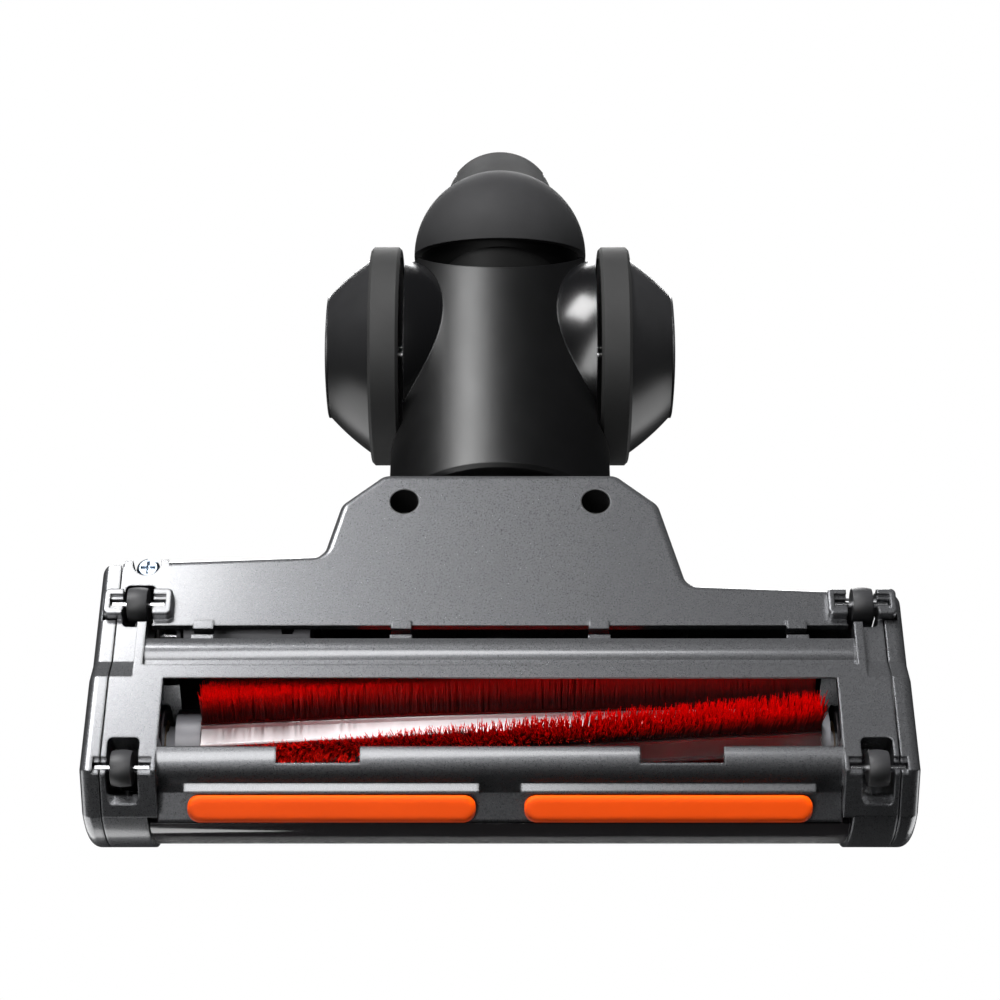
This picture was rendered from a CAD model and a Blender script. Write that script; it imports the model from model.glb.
"""Studio scene of a powered vacuum floor head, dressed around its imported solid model.

The head stands on its rollers and wheels, as in use. The main camera looks at its sole from below, so the
floor is a sheet that only shows its upper side.
"""

import logging
import math
from dataclasses import dataclass
from enum import Enum
from typing import Any, Dict, List, Sequence, Tuple, Union

import bmesh
import bpy
import numpy as np
from mathutils import Matrix, Vector


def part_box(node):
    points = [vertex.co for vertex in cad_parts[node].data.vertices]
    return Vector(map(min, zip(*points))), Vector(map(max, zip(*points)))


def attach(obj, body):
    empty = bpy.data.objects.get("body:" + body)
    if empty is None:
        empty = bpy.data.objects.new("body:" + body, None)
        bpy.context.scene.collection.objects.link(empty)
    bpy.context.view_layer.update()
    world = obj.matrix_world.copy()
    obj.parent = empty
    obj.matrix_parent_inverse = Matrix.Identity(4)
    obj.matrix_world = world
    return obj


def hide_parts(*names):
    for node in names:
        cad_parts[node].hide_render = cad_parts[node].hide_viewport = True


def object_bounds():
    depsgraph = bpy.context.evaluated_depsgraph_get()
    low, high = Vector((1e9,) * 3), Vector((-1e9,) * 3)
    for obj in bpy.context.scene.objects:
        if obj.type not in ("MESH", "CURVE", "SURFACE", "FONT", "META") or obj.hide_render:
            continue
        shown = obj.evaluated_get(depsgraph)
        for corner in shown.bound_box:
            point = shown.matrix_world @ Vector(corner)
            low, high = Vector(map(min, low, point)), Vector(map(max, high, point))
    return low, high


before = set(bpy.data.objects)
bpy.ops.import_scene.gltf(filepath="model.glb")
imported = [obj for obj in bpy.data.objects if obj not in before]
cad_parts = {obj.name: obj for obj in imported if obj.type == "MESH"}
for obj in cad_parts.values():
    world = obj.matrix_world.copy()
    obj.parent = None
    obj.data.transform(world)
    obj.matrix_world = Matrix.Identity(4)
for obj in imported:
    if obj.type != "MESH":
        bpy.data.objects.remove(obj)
CAD_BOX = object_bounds()
LOG = logging.getLogger("floor_head")
MM = 0.001

Colour = Tuple[float, float, float]
Place = Tuple[float, float, float]
Operand = Union["Term", float]

# Places on the solid model that finishes follow, in metres
BOWL_X = 35.3 * MM
BOWL_RADIUS = 31.0 * MM
BOWL_EDGE = (0.05 * MM, 0.25 * MM)
WELL_X = 27.6 * MM
WELL_BEHIND_NOSE = 97.5 * MM
WELL_RADIUS = 4.2 * MM
WELL_EDGE = 0.2 * MM
NO_WELLS = (0.0, -1.0)
BRIGHT_SCREW_X = 60.0 * MM
EVERYWHERE_X = -1.0
PLATING_EDGE = 2.0 * MM

WHITE = (1.0, 1.0, 1.0)
WELL_BLACK = (0.004, 0.004, 0.004)
SCREW_BLACK = (0.01, 0.01, 0.01)

# Sockets of the Mix node that hold colours, and the samples of a rounded edge
MIX_FIRST = 6
MIX_SECOND = 7
MIX_RESULT = 2
EDGE_SAMPLES = 4


class Glow(Enum):
    """What a soft box lights."""

    FULL = "everything"
    GLOSS = "reflections"
    MATT = "matt colour"


class Term:
    """A shader value that takes part in Python expressions."""

    def __init__(self, net: "Net", socket: Any) -> None:
        """Keep a socket and the node tree it belongs to."""
        self.net = net
        self.socket = socket

    def _with(self, operation: str, first: Operand, second: Operand) -> "Term":
        """Add one Math node for an operation on two operands."""
        return self.net.node("ShaderNodeMath", {"operation": operation}, {0: first, 1: second})

    def __add__(self, other: Operand) -> "Term":
        """Sum."""
        return self._with("ADD", self, other)

    __radd__ = __add__

    def __sub__(self, other: Operand) -> "Term":
        """Difference."""
        return self._with("SUBTRACT", self, other)

    def __rsub__(self, other: Operand) -> "Term":
        """Difference from a number."""
        return self._with("SUBTRACT", other, self)

    def __mul__(self, other: Operand) -> "Term":
        """Product."""
        return self._with("MULTIPLY", self, other)

    __rmul__ = __mul__

    def __truediv__(self, other: Operand) -> "Term":
        """Quotient."""
        return self._with("DIVIDE", self, other)

    def __rtruediv__(self, other: Operand) -> "Term":
        """Quotient of a number."""
        return self._with("DIVIDE", other, self)

    def __pow__(self, other: Operand) -> "Term":
        """Power."""
        return self._with("POWER", self, other)

    def __abs__(self) -> "Term":
        """Size without sign."""
        return self._with("ABSOLUTE", self, 0.0)

    def ramp(self, low: float, high: float) -> "Term":
        """Go smoothly from 0 at low to 1 at high."""
        return self.net.node("ShaderNodeMapRange", {"interpolation_type": "SMOOTHSTEP"},
                             {"Value": self, "From Min": low, "From Max": high})

    def around(self, middle: float, share: float) -> "Term":
        """Turn noise from 0 to 1 into a value that varies around a middle by a share of it."""
        return middle * (1.0 - share / 2.0 + share * self)


class Net:
    """A node tree with one method for any node."""

    def __init__(self, holder: Any) -> None:
        """Start with an empty tree.

        Args:
            holder: A new material or world.
        """
        self.holder = holder
        holder.use_nodes = True
        self.tree = holder.node_tree
        self.tree.nodes.clear()

    def node(self, kind: str, settings: Dict[str, Any], inputs: Dict[Any, Any], output: Any = 0) -> Term:
        """Add one node.

        Args:
            kind: The node's type.
            settings: Properties of the node, set first.
            inputs: Values or terms by the name or number of the node's sockets.
            output: Name or number of the output that is wanted.

        Returns:
            That output as a term.
        """
        made = self.tree.nodes.new(kind)
        for name, value in settings.items():
            setattr(made, name, value)
        for key, value in inputs.items():
            if isinstance(value, Term):
                self.tree.links.new(value.socket, made.inputs[key])
            else:
                made.inputs[key].default_value = value
        return Term(self, made.outputs[output])

    def place(self) -> Term:
        """Object coordinates, which are the model's own in metres."""
        return self.node("ShaderNodeTexCoord", {}, {}, "Object")

    def axes(self) -> Tuple[Term, Term, Term]:
        """Split the object coordinates.

        Returns:
            The three coordinates as separate values.
        """
        split = self.node("ShaderNodeSeparateXYZ", {}, {0: self.place()})
        parts = split.socket.node.outputs
        return Term(self, parts[0]), Term(self, parts[1]), Term(self, parts[2])

    def noise(self, size: float, detail: float, stretch: Sequence[float] = (1.0, 1.0, 1.0)) -> Term:
        """Cloudy noise.

        Args:
            size: Size of its features in millimetres.
            detail: Number of finer layers.
            stretch: How much longer the features are along each axis.

        Returns:
            A value around 0.5.
        """
        scale = [1.0 / s for s in stretch]
        where = self.node("ShaderNodeMapping", {}, {"Vector": self.place(), "Scale": scale})
        return self.node("ShaderNodeTexNoise", {},
                         {"Vector": where, "Scale": 1.0 / (size * MM), "Detail": detail})

    def flakes(self, size: float) -> Term:
        """Random brightness of small cells, by their size in millimetres."""
        cell = self.node("ShaderNodeTexVoronoi", {},
                         {"Vector": self.place(), "Scale": 1.0 / (size * MM)}, "Color")
        return self.node("ShaderNodeSeparateColor", {}, {0: cell})

    def blend(self, share: Operand, first: Any, second: Any) -> Term:
        """Mix two colours.

        Args:
            share: 0 gives the first and 1 the second.
            first: Colour or term.
            second: Colour or term.

        Returns:
            The mixed colour.
        """
        pair = [v if isinstance(v, Term) else (*v, 1.0) for v in (first, second)]
        return self.node("ShaderNodeMix", {"data_type": "RGBA"},
                         {0: share, MIX_FIRST: pair[0], MIX_SECOND: pair[1]}, MIX_RESULT)

    def either(self, share: Operand, first: Term, second: Term) -> Term:
        """Mix two shaders, where 0 gives the first and 1 the second."""
        return self.node("ShaderNodeMixShader", {}, {0: share, 1: first, 2: second})

    def relief(self, height: Term, depth: float, strength: float, rounding: float) -> Term:
        """Surface relief over slightly rounded edges.

        Args:
            height: Height of the relief, about 0 to 1.
            depth: Depth of the relief in millimetres.
            strength: How much of it shows.
            rounding: Radius of the edges in millimetres.

        Returns:
            The normal.
        """
        soft = self.node("ShaderNodeBevel", {"samples": EDGE_SAMPLES}, {"Radius": rounding * MM})
        return self.node("ShaderNodeBump", {},
                         {"Strength": strength, "Distance": depth * MM, "Height": height, "Normal": soft})

    def surface(self, **sockets: Any) -> bpy.types.Material:
        """Close a material's tree with a Principled shader, whose inputs here have _ for a space."""
        values = {name.replace("_", " "): value for name, value in sockets.items()}
        return self.close(self.node("ShaderNodeBsdfPrincipled", {}, values))

    def close(self, shader: Term, kind: str = "ShaderNodeOutputMaterial") -> Any:
        """Send a shader to the output.

        Args:
            shader: The finished shader.
            kind: Type of the output node.

        Returns:
            The material or world.
        """
        out = self.tree.nodes.new(kind)
        self.tree.links.new(shader.socket, out.inputs["Surface"])
        return self.holder


def new_net(name: str) -> Net:
    """Node tree of a new material of this name."""
    return Net(bpy.data.materials.new(name))


def scaled(colour: Colour, factor: float) -> Colour:
    """A colour made darker or lighter by a factor, at most white."""
    red, green, blue = (min(1.0, part * factor) for part in colour)
    return red, green, blue


def distance(*steps: Term) -> Term:
    """Measure the straight way that steps along the axes add up to.

    Args:
        steps: One step for each axis, of either sign.

    Returns:
        The length of the way.
    """
    total = steps[0] ** 2.0
    for step in steps[1:]:
        total = total + step ** 2.0
    return total ** 0.5


@dataclass(frozen=True)
class Plastic:
    """Moulded plastic or rubber: fine grain, faint mottling and soft edges."""

    name: str
    colour: Colour
    roughness: float = 0.45
    grain: float = 0.22
    depth: float = 0.02
    mottle: float = 0.18
    coat: float = 0.0
    rounding: float = 0.35
    specular: float = 0.5
    cloud_size: float = 9.0
    wear_size: float = 14.0
    wear_share: float = 0.3
    coat_roughness: float = 0.06
    relief_strength: float = 0.6

    def material(self) -> bpy.types.Material:
        """Make the material.

        Returns:
            The material, ready to wear.
        """
        net = new_net(self.name)
        cloud = net.noise(self.cloud_size, detail=3.0)
        grain = net.noise(self.grain, detail=2.0)
        wear = net.noise(self.wear_size, detail=4.0)
        dark = scaled(self.colour, 1.0 - self.mottle)
        light = scaled(self.colour, 1.0 + self.mottle)
        return net.surface(
            Base_Color=net.blend(cloud, dark, light),
            Roughness=wear.around(self.roughness, self.wear_share),
            Coat_Weight=self.coat,
            Coat_Roughness=self.coat_roughness,
            Specular_IOR_Level=self.specular,
            Normal=net.relief(grain, self.depth, self.relief_strength, self.rounding),
        )


@dataclass(frozen=True)
class FlakeLacquer:
    """Metallic grey plastic with fine flakes under a gloss skin, bare and black in its screw wells."""

    name: str
    colour: Colour
    wells: Tuple[float, float] = NO_WELLS
    flake: float = 0.15
    cloud_size: float = 0.9
    fleck_share: float = 0.6
    fleck_range: Tuple[float, float] = (0.15, 0.9)
    contrast: float = 0.17
    roughness: float = 0.34
    fleck_roughness: float = 0.16
    bare_roughness: float = 0.6
    metallic: float = 0.85
    coat: float = 0.9
    coat_roughness: float = 0.14
    depth: float = 0.004
    relief_strength: float = 0.1
    rounding: float = 0.8

    def material(self) -> bpy.types.Material:
        """Make the material.

        Returns:
            The material, ready to wear.
        """
        net = new_net(self.name)
        fleck = net.flakes(self.flake)
        cloud = net.noise(self.cloud_size, detail=2.0)
        share = (self.fleck_share * fleck + (1.0 - self.fleck_share) * cloud).ramp(*self.fleck_range)
        dark = scaled(self.colour, 1.0 - self.contrast)
        light = scaled(self.colour, 1.0 + self.contrast)
        x, y, _ = net.axes()
        away = distance(abs(x) - self.wells[0], y - self.wells[1])
        skin = away.ramp(WELL_RADIUS, WELL_RADIUS + WELL_EDGE)
        smoother = self.roughness - self.bare_roughness + self.fleck_roughness * (fleck - 0.5)
        return net.surface(
            Base_Color=net.blend(skin, WELL_BLACK, net.blend(share, dark, light)),
            Roughness=self.bare_roughness + skin * smoother,
            Metallic=self.metallic * skin,
            Coat_Weight=self.coat * skin,
            Coat_Roughness=self.coat_roughness,
            Normal=net.relief(cloud, self.depth, self.relief_strength, self.rounding),
        )


@dataclass(frozen=True)
class NeckPlastic:
    """Satin neck plastic that turns to polished black in the two bowls beside the wheels."""

    name: str
    colour: Colour
    bowl_colour: Colour
    bowl_centre: Place
    roughness: float = 0.4
    rough_share: float = 0.2
    mottle: float = 0.15
    grain: float = 0.25
    cloud_size: float = 7.0
    depth: float = 0.03
    relief_strength: float = 0.5
    rounding: float = 0.4
    bowl_roughness: float = 0.24
    bowl_smoothness: float = 0.9
    bowl_coat: float = 0.3
    coat_roughness: float = 0.2

    def material(self) -> bpy.types.Material:
        """Make the material.

        Returns:
            The material, ready to wear.
        """
        net = new_net(self.name)
        x, y, z = net.axes()
        centre_x, centre_y, centre_z = self.bowl_centre
        away = distance(abs(x) - centre_x, y - centre_y, z - centre_z)
        bowl = 1.0 - away.ramp(BOWL_RADIUS + BOWL_EDGE[0], BOWL_RADIUS + BOWL_EDGE[1])
        grain = net.noise(self.grain, detail=2.0)
        cloud = net.noise(self.cloud_size, detail=3.0)
        dark = scaled(self.colour, 1.0 - self.mottle)
        light = scaled(self.colour, 1.0 + self.mottle)
        satin = net.blend(cloud, dark, light)
        rough = cloud.around(self.roughness, self.rough_share)
        height = grain * (1.0 - self.bowl_smoothness * bowl)
        return net.surface(
            Base_Color=net.blend(bowl, satin, self.bowl_colour),
            Roughness=rough + bowl * (self.bowl_roughness - rough),
            Coat_Weight=self.bowl_coat * bowl,
            Coat_Roughness=self.coat_roughness,
            Normal=net.relief(height, self.depth, self.relief_strength, self.rounding),
        )


@dataclass(frozen=True)
class Metal:
    """Bare or plated metal with fine machining lines, blackened up to some place along the head."""

    name: str
    colour: Colour
    roughness: float = 0.25
    bright_from_x: float = EVERYWHERE_X
    along: Tuple[float, float, float] = (1.0, 1.0, 1.0)
    line: float = 0.12
    rough_share: float = 0.6
    stain_size: float = 3.0
    stain: float = 0.82
    depth: float = 0.006
    relief_strength: float = 0.4
    rounding: float = 0.15

    def material(self) -> bpy.types.Material:
        """Make the material.

        Returns:
            The material, ready to wear.
        """
        net = new_net(self.name)
        lines = net.noise(self.line, detail=2.0, stretch=self.along)
        stain = net.noise(self.stain_size, detail=3.0)
        bright = net.blend(stain, scaled(self.colour, self.stain), self.colour)
        x, _, _ = net.axes()
        plated = x.ramp(self.bright_from_x, self.bright_from_x + PLATING_EDGE)
        return net.surface(
            Base_Color=net.blend(plated, SCREW_BLACK, bright),
            Metallic=1.0,
            Roughness=lines.around(self.roughness, self.rough_share),
            Normal=net.relief(lines, self.depth, self.relief_strength, self.rounding),
        )


@dataclass(frozen=True)
class SmokedClear:
    """Dark see-through plastic with a polished skin."""

    name: str
    colour: Colour
    alpha: float
    haze_size: float = 6.0
    haze: float = 0.8
    roughness: float = 0.07
    haze_roughness: float = 0.05
    coat_roughness: float = 0.03
    ripple_size: float = 1.5
    depth: float = 0.004
    relief_strength: float = 0.2
    rounding: float = 0.3

    def material(self) -> bpy.types.Material:
        """Make the material.

        Returns:
            The material, ready to wear.
        """
        net = new_net(self.name)
        haze = net.noise(self.haze_size, detail=3.0)
        ripple = net.noise(self.ripple_size, detail=1.0)
        return net.surface(
            Base_Color=net.blend(haze, scaled(self.colour, self.haze), self.colour),
            Alpha=self.alpha,
            Roughness=self.roughness + self.haze_roughness * haze,
            Coat_Weight=1.0,
            Coat_Roughness=self.coat_roughness,
            Normal=net.relief(ripple, self.depth, self.relief_strength, self.rounding),
        )


@dataclass(frozen=True)
class Nylon:
    """Bristle nylon, dark at its foot and bright at its tips."""

    name: str
    foot: Colour
    tip: Colour
    axis_y: float
    axis_z: float
    dark_radius: float
    tip_radius: float
    strand: float = 0.5
    strand_stretch: Tuple[float, float, float] = (0.6, 3.0, 3.0)
    strand_range: Tuple[float, float] = (0.3, 0.65)
    deep_foot: float = 0.5
    deep_tip: float = 0.7
    roughness: float = 0.42
    strand_roughness: float = 0.2
    specular: float = 0.15

    def material(self) -> bpy.types.Material:
        """Make the material.

        Returns:
            The material, ready to wear.
        """
        net = new_net(self.name)
        _, y, z = net.axes()
        share = distance(y - self.axis_y, z - self.axis_z).ramp(self.dark_radius, self.tip_radius)
        strand = net.noise(self.strand, detail=1.0, stretch=self.strand_stretch)
        lit = net.blend(share, self.foot, self.tip)
        deep = net.blend(share, scaled(self.foot, self.deep_foot), scaled(self.tip, self.deep_tip))
        return net.surface(
            Base_Color=net.blend(strand.ramp(*self.strand_range), deep, lit),
            Roughness=self.roughness + self.strand_roughness * strand,
            Specular_IOR_Level=self.specular,
        )


@dataclass(frozen=True)
class Board:
    """Dark circuit board with a faint pattern of tracks."""

    name: str
    colour: Colour
    track: float = 1.6
    track_stretch: Tuple[float, float, float] = (4.0, 1.0, 1.0)
    track_range: Tuple[float, float] = (0.46, 0.5)
    track_shine: float = 1.8
    roughness: float = 0.35
    track_roughness: float = 0.1
    depth: float = 0.03
    relief_strength: float = 0.6
    rounding: float = 0.1

    def material(self) -> bpy.types.Material:
        """Make the material.

        Returns:
            The material, ready to wear.
        """
        net = new_net(self.name)
        tracks = net.noise(self.track, detail=0.0, stretch=self.track_stretch).ramp(*self.track_range)
        return net.surface(
            Base_Color=net.blend(tracks, self.colour, scaled(self.colour, self.track_shine)),
            Roughness=self.roughness + self.track_roughness * tracks,
            Normal=net.relief(tracks, self.depth, self.relief_strength, self.rounding),
        )


@dataclass
class Finishes:
    """All finishes of the head and the solid nodes that wear them."""

    ends: Tuple[str, str] = ("drive", "free")
    rows: Tuple[str, str] = ("front", "rear")

    def __post_init__(self) -> None:
        """Read where the bowls and the screw wells are from the solid model."""
        low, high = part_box("wheel_tyre_drive")
        middle = (low + high) / 2.0
        self.bowl_centre: Place = (BOWL_X, middle.y, middle.z)
        self.screw_wells: Tuple[float, float] = (WELL_X, CAD_BOX[0][1] + WELL_BEHIND_NOSE)

    def pairs(self, *parts: str) -> List[str]:
        """Names of parts that the drive end and the free end both have."""
        return [f"{part}_{end}" for part in parts for end in self.ends]

    def at_rollers(self, part: str) -> List[str]:
        """Names of a part that all four rollers have."""
        return self.pairs(*[f"{part}_{row}" for row in self.rows])

    def mouldings(self) -> List[Tuple[Any, List[str]]]:
        """List the finishes of the outer mouldings.

        Returns:
            Each finish with the nodes that wear it.
        """
        return [
            (FlakeLacquer("sole_lacquer", (0.14, 0.142, 0.149), self.screw_wells), ["sole_plate"]),
            (FlakeLacquer("cover_lacquer", (0.13, 0.132, 0.138)), ["top_cover"] + self.pairs("end_cap")),
            (SmokedClear("smoked_window", (0.03, 0.026, 0.028), 0.86), ["brush_window"]),
            (Plastic("strip_orange", (0.95, 0.085, 0.002), 0.55, grain=0.4, depth=0.015, mottle=0.06,
                     rounding=2.6, specular=0.15), self.pairs("front_strip")),
            (NeckPlastic("neck_satin", (0.0013, 0.0013, 0.0014), (0.002, 0.002, 0.0022), self.bowl_centre),
             ["neck_duct"]),
            (Plastic("elbow_black", (0.002, 0.002, 0.002), 0.55, depth=0.008, specular=0.1), ["elbow_duct"]),
            (Plastic("hood_charcoal", (0.011, 0.011, 0.0115), 0.72, depth=0.03, specular=0.3),
             ["elbow_hood"]),
            (Plastic("spigot_charcoal", (0.006, 0.006, 0.0063), 0.6, depth=0.02, specular=0.2),
             ["wand_spigot"]),
        ]

    def running_parts(self) -> List[Tuple[Any, List[str]]]:
        """List the finishes of the wheels, the rollers and the brush.

        Returns:
            Each finish with the nodes that wear it.
        """
        return [
            (Plastic("wheel_satin", (0.011, 0.011, 0.0115), 0.3, depth=0.006),
             self.pairs("wheel_rim", "hub_cap")),
            (Plastic("tyre_rubber", (0.0095, 0.0095, 0.0095), 0.7, grain=0.35, depth=0.03),
             self.pairs("wheel_tyre")),
            (Plastic("roller_plastic", (0.015, 0.015, 0.016), 0.5), self.at_rollers("roller")),
            (Metal("bright_steel", (0.72, 0.72, 0.74), 0.2, along=(8.0, 1.0, 1.0)),
             self.at_rollers("roller_axle") + ["motor_shaft"] + self.pairs("wheel_axle")),
            (Plastic("core_silver", (0.48, 0.455, 0.465), 0.22, depth=0.004, coat=0.5), ["brush_core"]),
            (Plastic("hub_grey", (0.085, 0.085, 0.092), 0.35), ["brush_hub", "brush_plug"]),
            (Metal("bronze", (0.60, 0.42, 0.22), 0.4), self.pairs("brush_bearing")),
        ]

    def inner_parts(self) -> List[Tuple[Any, List[str]]]:
        """List the finishes of the drive, the electrics, the chamber and what holds the head together.

        Returns:
            Each finish with the nodes that wear it.
        """
        return [
            (Plastic("chamber_black", (0.003, 0.003, 0.0032), 0.5),
             ["chamber_liner", "neck_retainer", "motor_cradle", "contact_block", "brush_lock"]),
            (Plastic("pulley_white", (0.72, 0.71, 0.68), 0.45), ["motor_pulley", "brush_pulley"]),
            (Plastic("belt_rubber", (0.02, 0.02, 0.02), 0.7), ["drive_belt"]),
            (Board("board_black", (0.006, 0.009, 0.008)), ["control_board"]),
            (Metal("motor_can", (0.10, 0.10, 0.105), 0.4), ["drive_motor"]),
            (Metal("zinc_screw", (0.26, 0.31, 0.37), 0.28, BRIGHT_SCREW_X), ["cover_screws"]),
            (Metal("contact_brass", (0.85, 0.66, 0.30), 0.18), ["contact_pins"]),
        ]

    def dress(self) -> None:
        """Give every solid node its finish."""
        for finish, nodes in self.mouldings() + self.running_parts() + self.inner_parts():
            material = finish.material()
            for node in nodes:
                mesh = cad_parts[node].data
                mesh.materials.clear()
                mesh.materials.append(material)
            LOG.info("finish %s on %s", finish.name, ", ".join(nodes))


@dataclass
class BrushRoll:
    """The six helical bristle strips of the brush, made of single filaments. Lengths are in millimetres."""

    strips: int = 6
    filaments: int = 8192
    sides: int = 3
    seed: int = 400
    start_turn: float = -7.0
    twist: float = 49.0
    foot_radius: float = 9.3
    foot_sink: float = 0.4
    tip_radius: float = 21.4
    tip_spread: float = 0.55
    tip_dome: float = 0.035
    foot_half: float = 1.9
    flare: float = 1.95
    lean_spread: float = 0.55
    end_margin: float = 0.3
    foot_thickness: float = 0.13
    tip_thickness: float = 0.075
    levels: Tuple[float, float, float] = (0.0, 0.55, 1.0)
    bow: float = 1.6
    tuft_pitch: float = 1.8
    tuft_wander: float = 0.35
    tuft_wave: float = 5.0
    tuft_phase: float = 2.3
    tuft_pull: float = 0.55
    stray: float = 0.45
    felt_reach: float = 10.8
    felt_half: float = 2.0
    felt_flare: float = 1.2
    felt_steps: int = 32
    dark_reach: float = 13.0
    bright_tip: float = 0.9
    foot_colour: Colour = (0.12, 0.0012, 0.001)
    tip_colour: Colour = (0.88, 0.012, 0.005)

    def __post_init__(self) -> None:
        """Read the brush's axis and length from the solid core."""
        low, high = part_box("brush_core")
        self.axis = (low + high) / 2.0
        self.low_x = low.x / MM
        self.high_x = high.x / MM

    def finish(self) -> Nylon:
        """The bristles' nylon."""
        return Nylon("bristle_red", self.foot_colour, self.tip_colour, self.axis.y, self.axis.z,
                     self.dark_reach * MM, (self.tip_radius - self.bright_tip) * MM)

    def turn_at(self, strip: int, x: np.ndarray) -> np.ndarray:
        """Turn of a strip, in radians, at places along the brush."""
        share = (x - self.low_x) / (self.high_x - self.low_x)
        return np.radians(strip * 360.0 / self.strips + self.start_turn + self.twist * share)

    def felt(self, strip: int) -> bmesh.types.BMesh:
        """Dense foot of a strip, swept along the helix.

        Args:
            strip: Number of the strip.

        Returns:
            Its mesh.
        """
        made = bmesh.new()
        bmesh.ops.create_grid(made, x_segments=1, y_segments=1, size=0.5)
        wide = 2.0 * self.felt_half
        tall = self.felt_reach - self.foot_radius
        bmesh.ops.scale(made, vec=(wide, tall, 1.0), verts=made.verts)
        outer = [vert for vert in made.verts if vert.co.y < 0.0]
        bmesh.ops.scale(made, vec=(self.felt_flare, 1.0, 1.0), verts=outer)
        bmesh.ops.translate(made, vec=(0.0, -(self.foot_radius + tall / 2.0), 0.0), verts=made.verts)
        stand = Matrix(((0, 0, 1, 0), (-1, 0, 0, 0), (0, 1, 0, 0), (0, 0, 0, 1)))
        bmesh.ops.transform(made, matrix=stand, verts=made.verts)
        first = float(self.turn_at(strip, np.array(self.low_x)))
        bmesh.ops.rotate(made, matrix=Matrix.Rotation(-first, 3, "X"), verts=made.verts)
        run = (self.high_x - self.low_x) / self.felt_steps
        bmesh.ops.spin(made, geom=made.faces[:], cent=(0, 0, 0), axis=(1, 0, 0), dvec=(run, 0, 0),
                       angle=-math.radians(self.twist), steps=self.felt_steps, use_merge=False,
                       use_duplicate=False)
        bmesh.ops.translate(made, vec=(self.low_x, 0, 0), verts=made.verts)
        bmesh.ops.scale(made, vec=(MM, MM, MM), verts=made.verts)
        bmesh.ops.translate(made, vec=(0, self.axis.y, self.axis.z), verts=made.verts)
        bmesh.ops.recalc_face_normals(made, faces=made.faces)
        return made

    def filament_field(self) -> bmesh.types.BMesh:
        """Copy one thin filament, doubling until there are enough.

        Returns:
            The mesh of a strip's filaments, not yet in place.
        """
        made = bmesh.new()
        bmesh.ops.create_circle(made, segments=self.sides, radius=1.0)
        ring = made.edges[:]
        for _ in self.levels[1:]:
            out = bmesh.ops.extrude_edge_only(made, edges=ring)["geom"]
            ring = [item for item in out if isinstance(item, bmesh.types.BMEdge)]
            raised = [item for item in out if isinstance(item, bmesh.types.BMVert)]
            bmesh.ops.translate(made, vec=(0, 0, 1), verts=raised)
        while len(made.verts) < self.sides * len(self.levels) * self.filaments:
            bmesh.ops.duplicate(made, geom=made.verts[:] + made.edges[:] + made.faces[:])
        return made

    def filament_places(self, strip: int) -> np.ndarray:
        """Where each filament's foot, middle and tip are.

        Args:
            strip: Number of the strip.

        Returns:
            Places about the brush axis, by filament, level and axis.
        """
        random = np.random.default_rng(self.seed + strip)
        count = self.filaments
        x = random.uniform(self.low_x + self.end_margin, self.high_x - self.end_margin, count)
        across = random.uniform(-self.foot_half, self.foot_half, count)
        number = np.round(x / self.tuft_pitch)
        tuft = number + self.tuft_wander * np.sin(across * self.tuft_wave + number * self.tuft_phase)
        pull = self.tuft_pull * (tuft * self.tuft_pitch - x) + random.normal(0.0, self.stray, count)
        shorter = np.abs(random.normal(0.0, self.tip_spread, count))
        tip = self.tip_radius - shorter - self.tip_dome * across ** 2
        lean = across * self.flare + random.normal(0.0, self.lean_spread, count)
        turn = self.turn_at(strip, x)
        foot = self.foot_radius - self.foot_sink
        levels = []
        for share in self.levels:
            bent = share ** self.bow
            radius = foot + share * (tip - foot)
            side = across + bent * (lean - across)
            y = -radius * np.sin(turn) - side * np.cos(turn)
            z = -radius * np.cos(turn) + side * np.sin(turn)
            levels.append(np.stack((x + bent * pull, y, z), axis=1))
        return np.stack(levels, axis=1)

    def filament_points(self, strip: int) -> np.ndarray:
        """Corners of all filaments of a strip.

        Args:
            strip: Number of the strip.

        Returns:
            Places in metres in the model's frame, in the order of the filament field.
        """
        centres = self.filament_places(strip)
        turn = self.turn_at(strip, centres[:, 0, 0])
        across = np.stack((np.zeros_like(turn), -np.cos(turn), np.sin(turn)), axis=1)
        along = np.array((1.0, 0.0, 0.0))
        points = np.zeros((self.filaments, len(self.levels), self.sides, 3))
        thicknesses = (self.foot_thickness, self.foot_thickness, self.tip_thickness)
        for level, thickness in enumerate(thicknesses):
            for corner in range(self.sides):
                angle = 2.0 * math.pi * corner / self.sides
                step = along * math.cos(angle) + across * math.sin(angle)
                points[:, level, corner] = centres[:, level] + thickness * step
        places = points.reshape(-1, 3) * MM
        places[:, 1] += self.axis.y
        places[:, 2] += self.axis.z
        return places

    def strip(self, number: int, material: bpy.types.Material) -> bpy.types.Object:
        """Build one bristle strip.

        Args:
            number: Number of the strip, from 0.
            material: The bristles' material.

        Returns:
            The piece, riding on the brush in place of the solid strip.
        """
        made = self.filament_field()
        mesh = bpy.data.meshes.new(f"bristles_{number + 1}")
        made.to_mesh(mesh)
        made.free()
        mesh.vertices.foreach_set("co", self.filament_points(number).ravel())
        whole = self.felt(number)
        whole.from_mesh(mesh)
        whole.to_mesh(mesh)
        whole.free()
        mesh.materials.append(material)
        piece = bpy.data.objects.new(mesh.name, mesh)
        bpy.context.scene.collection.objects.link(piece)
        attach(piece, "brush")
        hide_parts(f"bristle_strip_{number + 1}")
        return piece

    def build(self) -> None:
        """Build all strips."""
        material = self.finish().material()
        for number in range(self.strips):
            piece = self.strip(number, material)
            LOG.info("piece %s: %d faces", piece.name, len(piece.data.polygons))


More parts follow.
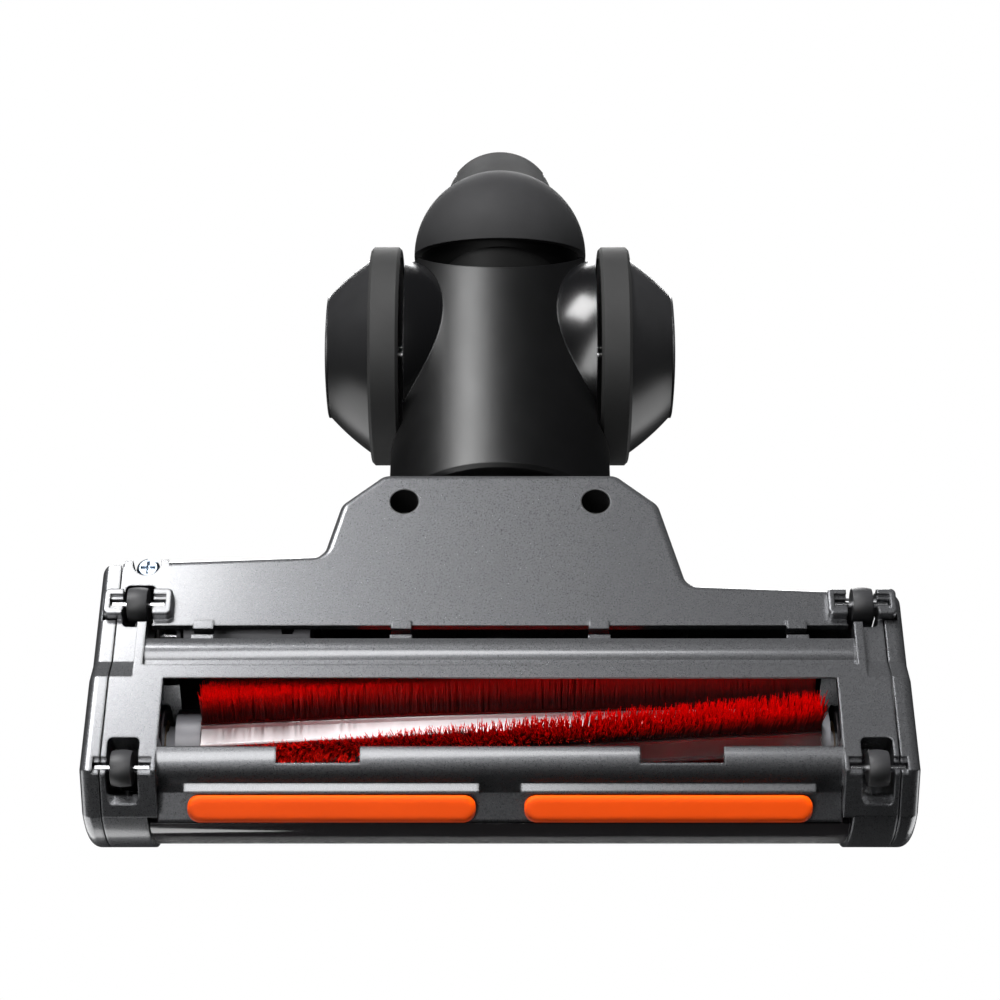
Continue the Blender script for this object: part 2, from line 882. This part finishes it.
@dataclass(frozen=True)
class SoftBox:
    """One soft box, with its place and size in metres and its power in watts."""

    name: str
    place: Place
    size: Tuple[float, float]
    power: float
    glow: Glow = Glow.FULL

    def build(self, aim: Vector) -> None:
        """Set the soft box up.

        Args:
            aim: The point that it faces.
        """
        light = bpy.data.lights.new(self.name, "AREA")
        light.shape = "RECTANGLE"
        light.size, light.size_y = self.size
        light.energy = self.power
        holder = bpy.data.objects.new(self.name, light)
        bpy.context.scene.collection.objects.link(holder)
        holder.location = self.place
        holder.rotation_euler = (aim - Vector(self.place)).to_track_quat("-Z", "Y").to_euler()
        holder.visible_camera = False
        holder.visible_glossy = self.glow is not Glow.MATT
        holder.visible_diffuse = self.glow is not Glow.GLOSS


@dataclass
class Studio:
    """Floor, light and camera, in metres; lens, sensor and the floor's clouds are in millimetres."""

    floor_half: float = 1.2
    floor_pale: float = 0.3
    floor_white: float = 1.1
    floor_tones: Tuple[float, float] = (0.86, 0.9)
    floor_cloud: float = 400.0
    lens: float = 81.18
    sensor: float = 36.0
    clip_start: float = 0.01
    camera_reach: float = 0.6505
    camera_tilt: float = 33.0
    look_behind_nose: float = 0.098
    look_height: float = 0.0055
    aim: Place = (0.0, -0.02, 0.03)
    sky_tint: Colour = (0.9, 0.95, 1.0)
    sky_strength: float = 0.016

    def floor(self) -> None:
        """Pale floor that fades to white, shows from above only and throws nothing back at the head."""
        made = bmesh.new()
        bmesh.ops.create_grid(made, x_segments=1, y_segments=1, size=self.floor_half)
        mesh = bpy.data.meshes.new("floor")
        made.to_mesh(mesh)
        made.free()
        sheet = bpy.data.objects.new("floor", mesh)
        bpy.context.scene.collection.objects.link(sheet)
        net = new_net("pale_floor")
        dark, light = (scaled(WHITE, tone) for tone in self.floor_tones)
        tone = net.blend(net.noise(self.floor_cloud, detail=2.0), dark, light)
        matt = net.node("ShaderNodeBsdfDiffuse", {}, {"Color": tone})
        white = net.node("ShaderNodeEmission", {}, {"Color": (*WHITE, 1.0)})
        clear = net.node("ShaderNodeBsdfTransparent", {}, {})
        x, y, _ = net.axes()
        far = distance(x, y).ramp(self.floor_pale, self.floor_white)
        under = net.node("ShaderNodeNewGeometry", {}, {}, "Backfacing")
        mesh.materials.append(net.close(net.either(under, net.either(far, matt, white), clear)))
        sheet.visible_diffuse = False
        sheet.visible_glossy = False
        sheet.visible_transmission = False
        sheet.visible_shadow = False

    def lights(self) -> None:
        """Soft boxes below for the sole and above for the other sides."""
        boxes = [
            SoftBox("key_below", (0.67, 0.68, -1.05), (0.65, 0.7), 23.0, Glow.GLOSS),
            SoftBox("wash_below", (0.0, 0.62, -1.15), (0.12, 0.5), 50.0, Glow.MATT),
            SoftBox("low_below", (0.37, -0.55, -1.13), (0.46, 1.70), 15.5, Glow.GLOSS),
            SoftBox("sweep_below", (0.25, 0.95, -0.85), (0.2, 0.4), 42.0, Glow.MATT),
            SoftBox("key_above", (0.95, -0.75, 0.85), (1.4, 1.4), 15.0),
            SoftBox("back_above", (0.0, 1.35, 0.8), (0.8, 0.8), 16.0),
            SoftBox("side_above", (-1.50, -0.70, 1.2), (1.4, 1.4), 14.0),
        ]
        for box in boxes:
            box.build(Vector(self.aim))

    def sky(self) -> None:
        """White surroundings for the camera and a low grey for everything else."""
        net = Net(bpy.data.worlds.new("studio"))
        seen = net.node("ShaderNodeBackground", {}, {"Color": (*WHITE, 1.0), "Strength": 1.0})
        around = net.node("ShaderNodeBackground", {},
                          {"Color": (*self.sky_tint, 1.0), "Strength": self.sky_strength})
        straight = net.node("ShaderNodeLightPath", {}, {}, "Is Camera Ray")
        bpy.context.scene.world = net.close(net.either(straight, around, seen), "ShaderNodeOutputWorld")

    def camera(self) -> None:
        """Camera below and in front of the head, looking up at its sole."""
        tilt = math.radians(self.camera_tilt)
        aim = Vector((0.0, CAD_BOX[0][1] + self.look_behind_nose, self.look_height))
        view = Vector((0.0, math.sin(tilt), math.cos(tilt)))
        up = Vector((0.0, math.cos(tilt), -math.sin(tilt)))
        right = view.cross(up)
        lens = bpy.data.cameras.new("main_camera")
        lens.lens = self.lens
        lens.sensor_width = self.sensor
        lens.clip_start = self.clip_start
        holder = bpy.data.objects.new("main_camera", lens)
        bpy.context.scene.collection.objects.link(holder)
        turn = Matrix((right, up, -view)).transposed().to_4x4()
        holder.matrix_world = Matrix.Translation(aim - self.camera_reach * view) @ turn
        bpy.context.scene.camera = holder

    def build(self) -> None:
        """Set up the whole studio."""
        self.floor()
        self.lights()
        self.sky()
        self.camera()
        bpy.context.scene.view_settings.view_transform = "Standard"


def main() -> None:
    """Dress the head, add its bristles and set up the studio."""
    logging.basicConfig(level=logging.INFO, format="%(name)s %(message)s")
    Finishes().dress()
    BrushRoll().build()
    Studio().build()


if __name__ == "__main__":
    main()
